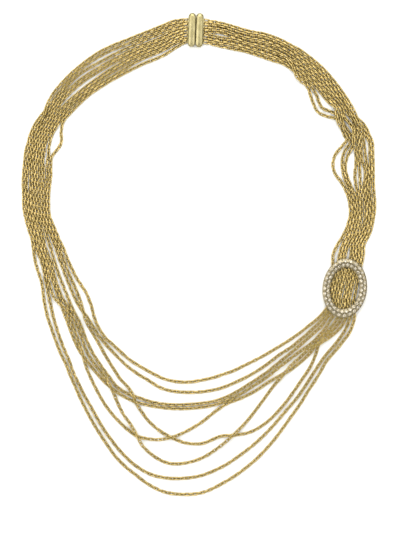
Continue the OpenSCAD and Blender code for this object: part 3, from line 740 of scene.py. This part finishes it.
fresh()
stone_mesh = bpy.data.meshes.new("stone")
stone_mesh.from_pydata([corner for ring in STONE_RINGS for corner in ring_corners(*ring)], [], [])
stone = bpy.data.objects.new("stone", stone_mesh)
bpy.context.collection.objects.link(stone)
stone.select_set(True)
bpy.context.view_layer.objects.active = stone
edit()
bpy.ops.mesh.convex_hull()
bpy.ops.object.mode_set(mode="OBJECT")
measure(stone)

# %% [markdown]
# ## One prong
# A bead of metal holds the stones wherever two or three of them meet. It is a short pin whose
# top was pushed over and rounded: a ball, with its lower half pulled down into the bed.

# %% Model the prong
PRONG_R = 0.22
PRONG_DEEP = 0.35
fresh()
bpy.ops.mesh.primitive_uv_sphere_add(segments=12, ring_count=6, radius=PRONG_R * MM)
edit()
pick(lambda co: co.z < -NEAR * MM)
bpy.ops.transform.translate(value=(0, 0, -PRONG_DEEP * MM))
prong = done("prong")
measure(prong)

# %% [markdown]
# ## Places along the band
# The two rows of stones run all the way round, staggered like bricks. Equal angles would crowd
# the stones where the oval bends more, so places are worked out by length along the band's
# middle line, and then turned with the slide.

# %% Places along the band
OVAL_STEPS = 720
oval_turns = np.linspace(0, 2 * math.pi, OVAL_STEPS + 1)
oval_points = np.stack([MID_A * np.cos(oval_turns), MID_B * np.sin(oval_turns)], axis=1)
oval_lengths = length_along(oval_points)
print("the band's middle line is", round(oval_lengths[-1], 1), "mm long")


def on_band(share, out):
    """Point and outward direction at a share of the way round, moved outwards."""
    t = np.interp(share % 1 * oval_lengths[-1], oval_lengths, oval_turns)
    normal = np.array([MID_B * math.cos(t), MID_A * math.sin(t)])
    normal /= np.linalg.norm(normal)
    swell = 1 + (BAND_END / BAND_SIDE - 1) * math.sin(t) ** 2
    point = np.array([MID_A * math.cos(t), MID_B * math.sin(t)]) + out * swell * normal
    return point, normal


def in_frame(point, z):
    c, s = math.cos(-SLIDE_LEAN), math.sin(-SLIDE_LEAN)
    return (slide_x + (c * point[0] - s * point[1]) * MM,
            slide_y + (s * point[0] + c * point[1]) * MM, z * MM)


def turned(normal, tilt, spin=0):
    """Rows of a turn that leans a piece outwards by tilt and spins it on its own axis."""
    c, s = math.cos(-SLIDE_LEAN), math.sin(-SLIDE_LEAN)
    out = np.array([c * normal[0] - s * normal[1], s * normal[0] + c * normal[1], 0])
    along = np.array([-out[1], out[0], 0])
    up = np.array([0, 0, 1])
    lean_out = math.cos(tilt) * out - math.sin(tilt) * up
    lean_up = math.cos(tilt) * up + math.sin(tilt) * out
    first = math.cos(spin) * lean_out + math.sin(spin) * along
    second = math.cos(spin) * along - math.sin(spin) * lean_out
    return np.stack([first, second, lean_up])


# %% [markdown]
# ## Set the stones
# Each row leans with its slope of the bed, and the outer row starts half a stone later. A setter
# drops every stone in as it comes, so each is spun by its own angle. Past each stone come two
# prongs; a row of PRONG_ROWS is how far they are from the band's middle, and how much higher
# than the stones' girdles.

# %% Set the stones
STONES_IN_ROW = 28
ROW_AT = 0.62
ROW_TILT = math.radians(13)
GIRDLE_H = BAND_LOW + 1.3
SPIN_STEP = 2.4
SPIN_LIMIT = 6.28
PRONG_ROWS = [(0.2, 0.1), (1.2, -0.12)]
stone_places = []
prong_places = []
for row in (-1, 1):
    for k in range(STONES_IN_ROW):
        share = (k + (row + 1) / 4) / STONES_IN_ROW
        spin = (k * SPIN_STEP + row) % SPIN_LIMIT
        point, normal = on_band(share, row * ROW_AT)
        stone_places.append((turned(normal, row * ROW_TILT, spin), in_frame(point, GIRDLE_H)))
        for out, rise in PRONG_ROWS:
            point, normal = on_band(share + 0.5 / STONES_IN_ROW, row * out)
            prong_places.append((turned(normal, 0), in_frame(point, GIRDLE_H + rise)))
print(len(stone_places), "stones and", len(prong_places), "prongs")

# %% The stones in one mesh and the prongs in another


def add_copies(name, pattern, places):
    """One mesh of copies of pattern, each at (matrix rows, origin)."""
    points = np.array([vert.co for vert in pattern.data.vertices])
    faces = [face.vertices[:] for face in pattern.data.polygons]
    all_points = []
    all_faces = []
    for turn, at in places:
        start = len(all_points)
        all_points.extend((points @ np.array(turn) + np.array(at)).tolist())
        all_faces.extend([[start + v for v in face] for face in faces])
    mesh = bpy.data.meshes.new(name)
    mesh.from_pydata(all_points, [], all_faces)
    piece = bpy.data.objects.new(name, mesh)
    bpy.context.collection.objects.link(piece)
    return piece


stones = add_copies("slide_brilliants", stone, stone_places)
each = scatter(len(stone_places))
tone = stones.data.attributes.new("stone_shade", "FLOAT", "POINT")
tone.data.foreach_set("value", np.repeat(each, len(stone.data.vertices)))
prongs = add_copies("slide_prongs", prong, prong_places)
smooth(prongs, 180)
bpy.data.objects.remove(stone)
bpy.data.objects.remove(prong)
slide_metal.append(prongs)
for piece in slide_metal:
    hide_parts("slide_frame")
    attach(piece, "root")
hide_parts("slide_stones")
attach(stones, "root")
measure(stones)
measure(prongs)

# %% [markdown]
# ## Polished metal
# Polished gold is never one flat colour: it is rubbed brighter where it is touched and a little
# duller in between, and it carries hairline scratches. All the metals here share that effect, so
# it is one node group with named inputs, placed in each material with its own values.

# %% Worn polish group
PATCH_SIZE = 900.0


def make_polish_group():
    group = bpy.data.node_groups.new("worn polish", "ShaderNodeTree")
    face = group.interface
    for name, kind, value in (("Metal", "NodeSocketColor", (1, 1, 1, 1)),
                              ("Rubbed", "NodeSocketColor", (1, 1, 1, 1)),
                              ("Patch size", "NodeSocketFloat", PATCH_SIZE),
                              ("Hairlines", "NodeSocketFloat", 9000.0),
                              ("Smoothest", "NodeSocketFloat", 0.1),
                              ("Roughest", "NodeSocketFloat", 0.3)):
        socket = face.new_socket(name, in_out="INPUT", socket_type=kind)
        socket.default_value = value
    face.new_socket("Color", in_out="OUTPUT", socket_type="NodeSocketColor")
    face.new_socket("Roughness", in_out="OUTPUT", socket_type="NodeSocketFloat")
    face.new_socket("Height", in_out="OUTPUT", socket_type="NodeSocketFloat")
    nodes = group.nodes
    links = group.links
    source = nodes.new("NodeGroupInput")
    result = nodes.new("NodeGroupOutput")
    place = nodes.new("ShaderNodeTexCoord")
    patches = nodes.new("ShaderNodeTexNoise")
    patches.inputs["Detail"].default_value = 3
    hair = nodes.new("ShaderNodeTexNoise")
    hair.inputs["Detail"].default_value = 2
    stretched = nodes.new("ShaderNodeMapping")
    stretched.inputs["Scale"].default_value = (1, 0.15, 1)
    stretched.inputs["Rotation"].default_value = (0, 0, 0.6)
    links.new(place.outputs["Object"], patches.inputs["Vector"])
    links.new(place.outputs["Object"], stretched.inputs["Vector"])
    links.new(stretched.outputs["Vector"], hair.inputs["Vector"])
    links.new(source.outputs["Patch size"], patches.inputs["Scale"])
    links.new(source.outputs["Hairlines"], hair.inputs["Scale"])
    spread = nodes.new("ShaderNodeMapRange")
    spread.inputs["From Min"].default_value = 0.35
    spread.inputs["From Max"].default_value = 0.65
    links.new(patches.outputs["Fac"], spread.inputs["Value"])
    tint = nodes.new("ShaderNodeMix")
    tint.data_type = "RGBA"
    links.new(spread.outputs["Result"], tint.inputs["Factor"])
    links.new(source.outputs["Metal"], tint.inputs["A"])
    links.new(source.outputs["Rubbed"], tint.inputs["B"])
    rough = nodes.new("ShaderNodeMapRange")
    links.new(hair.outputs["Fac"], rough.inputs["Value"])
    links.new(source.outputs["Smoothest"], rough.inputs["To Min"])
    links.new(source.outputs["Roughest"], rough.inputs["To Max"])
    links.new(tint.outputs["Result"], result.inputs["Color"])
    links.new(rough.outputs["Result"], result.inputs["Roughness"])
    links.new(hair.outputs["Fac"], result.inputs["Height"])
    return group


polish_group = make_polish_group()
print("group inputs:", [s.name for s in polish_group.interface.items_tree if s.in_out == "INPUT"])

# %% [markdown]
# The chains are yellow gold. The broad tops of the clasp and the slide mirror the bright panels,
# so their golds are mixed deeper to keep their colour, and their patches are larger, as their
# faces are.

# %% Metals
HAIR_DEPTH = 0.01


def new_material(name):
    material = bpy.data.materials.new(name)
    material.use_nodes = True
    nodes = material.node_tree.nodes
    return material, nodes, material.node_tree.links, nodes["Principled BSDF"]


def polished_metal(name, metal, rubbed, smoothest, roughest, patch=PATCH_SIZE):
    material, nodes, links, shader = new_material(name)
    shader.inputs["Metallic"].default_value = 1
    wear = nodes.new("ShaderNodeGroup")
    wear.node_tree = polish_group
    wear.inputs["Metal"].default_value = (*metal, 1)
    wear.inputs["Rubbed"].default_value = (*rubbed, 1)
    wear.inputs["Patch size"].default_value = patch
    wear.inputs["Smoothest"].default_value = smoothest
    wear.inputs["Roughest"].default_value = roughest
    bump = nodes.new("ShaderNodeBump")
    bump.inputs["Strength"].default_value = 0.25
    bump.inputs["Distance"].default_value = HAIR_DEPTH * MM
    links.new(wear.outputs["Color"], shader.inputs["Base Color"])
    links.new(wear.outputs["Roughness"], shader.inputs["Roughness"])
    links.new(wear.outputs["Height"], bump.inputs["Height"])
    links.new(bump.outputs["Normal"], shader.inputs["Normal"])
    return material


chain_gold = polished_metal("chain gold", metal=(0.605, 0.448, 0.165),
                            rubbed=(0.76, 0.582, 0.25), smoothest=0.24, roughest=0.42)
clasp_gold = polished_metal("clasp gold", metal=(0.3, 0.255, 0.12), rubbed=(0.37, 0.32, 0.165),
                            smoothest=0.22, roughest=0.34, patch=400.0)
white_gold = polished_metal("white gold", metal=(0.24, 0.2, 0.12), rubbed=(0.33, 0.285, 0.185),
                            smoothest=0.25, roughest=0.4, patch=700.0)
print("metals:", chain_gold.name, clasp_gold.name, white_gold.name)

# %% [markdown]
# Every link of a chain was soldered and polished by itself, so no two shine quite the same. The
# sides of the links are painted darker as well, a painted shade for how far each point faces away
# from up. The gold is mixed darker by the number that each point carries. The stones will need
# the same mix, so it is a helper.

# %% Tone and painted shade of each link


def deepen(material, attribute, tint, colour):
    """Multiply a colour by tint as far as the attribute says, for the shader's Base Color."""
    nodes = material.node_tree.nodes
    links = material.node_tree.links
    share = nodes.new("ShaderNodeAttribute")
    share.attribute_name = attribute
    deeper = nodes.new("ShaderNodeMix")
    deeper.data_type = "RGBA"
    deeper.blend_type = "MULTIPLY"
    deeper.inputs["B"].default_value = (*tint, 1)
    links.new(share.outputs["Fac"], deeper.inputs["Factor"])
    links.new(colour, deeper.inputs["A"])
    links.new(deeper.outputs["Result"], nodes["Principled BSDF"].inputs["Base Color"])


chain_nodes = chain_gold.node_tree.nodes
wear = next(node for node in chain_nodes if node.type == "GROUP")
# The link attribute mixes the gold towards this dark tint: each link's own random tone, plus the
# painted shade on the sides and undersides of the links.
deepen(chain_gold, "link_tone_and_painted_shade", (0.34, 0.34, 0.22), wear.outputs["Color"])
chain_nodes["Principled BSDF"].inputs["Specular Tint"].default_value = (0.35, 0.33, 0.2, 1)
print(chain_gold.name, "now has", len(chain_nodes), "nodes")

# %% [markdown]
# ## Cut stones
# The stones are clear and bend light strongly, so the shader is glass with the refractive index
# of a hard gem. A faint cloud in the colour keeps them from looking like one sheet of glass,
# and every stone has its own depth of tone.

# %% Stone material


def clouded(nodes, links, scale, low, high):
    """A colour that drifts between two tones in soft clouds."""
    place = nodes.new("ShaderNodeTexCoord")
    cloud = nodes.new("ShaderNodeTexNoise")
    cloud.inputs["Scale"].default_value = scale
    tones = nodes.new("ShaderNodeValToRGB")
    tones.color_ramp.elements[0].color = (*low, 1)
    tones.color_ramp.elements[1].color = (*high, 1)
    links.new(place.outputs["Object"], cloud.inputs["Vector"])
    links.new(cloud.outputs["Fac"], tones.inputs["Fac"])
    return tones.outputs["Color"]


gem, nodes, links, shader = new_material("clear stone")
shader.inputs["Transmission Weight"].default_value = 1
shader.inputs["IOR"].default_value = 2.0
shader.inputs["Roughness"].default_value = 0.02
cloudy = clouded(nodes, links, 1500, (0.35, 0.3, 0.2), (0.51, 0.45, 0.325))
deepen(gem, "stone_shade", (0.6, 0.57, 0.5), cloudy)
print(gem.name, "has", len(nodes), "nodes")

# %% Put the materials on
for piece in chains:
    piece.data.materials.append(chain_gold)
for piece in clasp_pieces[-1] + clasp_pieces[1]:
    piece.data.materials.append(clasp_gold)
for piece in slide_metal:
    piece.data.materials.append(white_gold)
stones.data.materials.append(gem)
print("chains:", len(chains), "slide metal:", len(slide_metal))

# %% [markdown]
# ## The table
# The necklace was laid on plain white card, so the table is one large sheet just under it. Card
# is never quite smooth, and a very fine tooth in two near whites says so without showing.

# %% Table
TABLE_W = 3000
TABLE_UNDER = 0.02
fresh()
bpy.ops.mesh.primitive_plane_add(size=TABLE_W * MM, location=(0, 0, -TABLE_UNDER * MM))
table = bpy.context.object
table.name = "table"
card, nodes, links, shader = new_material("white card")
shader.inputs["Roughness"].default_value = 0.7
shader.inputs["Specular IOR Level"].default_value = 0.2
tooth = clouded(nodes, links, 1200, (0.92, 0.91, 0.86), (0.95, 0.94, 0.89))
links.new(tooth, shader.inputs["Base Color"])
table.data.materials.append(card)
measure(table)

# %% [markdown]
# ## Light
# Jewellery is lit by large soft panels, since a small lamp would leave hard white dots on every
# link. Four panels stand round the camera, the strongest at the far side, and put the bright
# edges on the gold. The room adds an even light from everywhere, which keeps the sides of the
# links and the slits between the chains from going black. `right` and `far` say on which side
# of the middle a panel stands.

# %% Lights
PANEL_W = 700
PANEL_OUT = 600
PANEL_UP = 850
ROOM_LIGHT = 0.65


def panel(name, right, far, power):
    at = (right * PANEL_OUT * MM, far * PANEL_OUT * MM, PANEL_UP * MM)
    fresh()
    bpy.ops.object.light_add(type="AREA", location=at)
    light = bpy.context.object
    light.name = name
    light.data.shape = "SQUARE"
    light.data.size = PANEL_W * MM
    light.data.energy = power
    light.rotation_euler = (-Vector(at)).to_track_quat("-Z", "Y").to_euler()
    print(name, "gives", power, "watts")


panel("panel_far", 0, 1, 6.6)
panel("panel_left", -1, 0, 4.2)
panel("panel_right", 1, 0, 2.8)
panel("panel_near", 0, -1, 1.7)
world = bpy.context.scene.world or bpy.data.worlds.new("world")
bpy.context.scene.world = world
world.use_nodes = True
backdrop = world.node_tree.nodes["Background"]
backdrop.inputs["Color"].default_value = (1, 1, 1, 1)
backdrop.inputs["Strength"].default_value = ROOM_LIGHT
bpy.context.scene.view_settings.view_transform = "Standard"
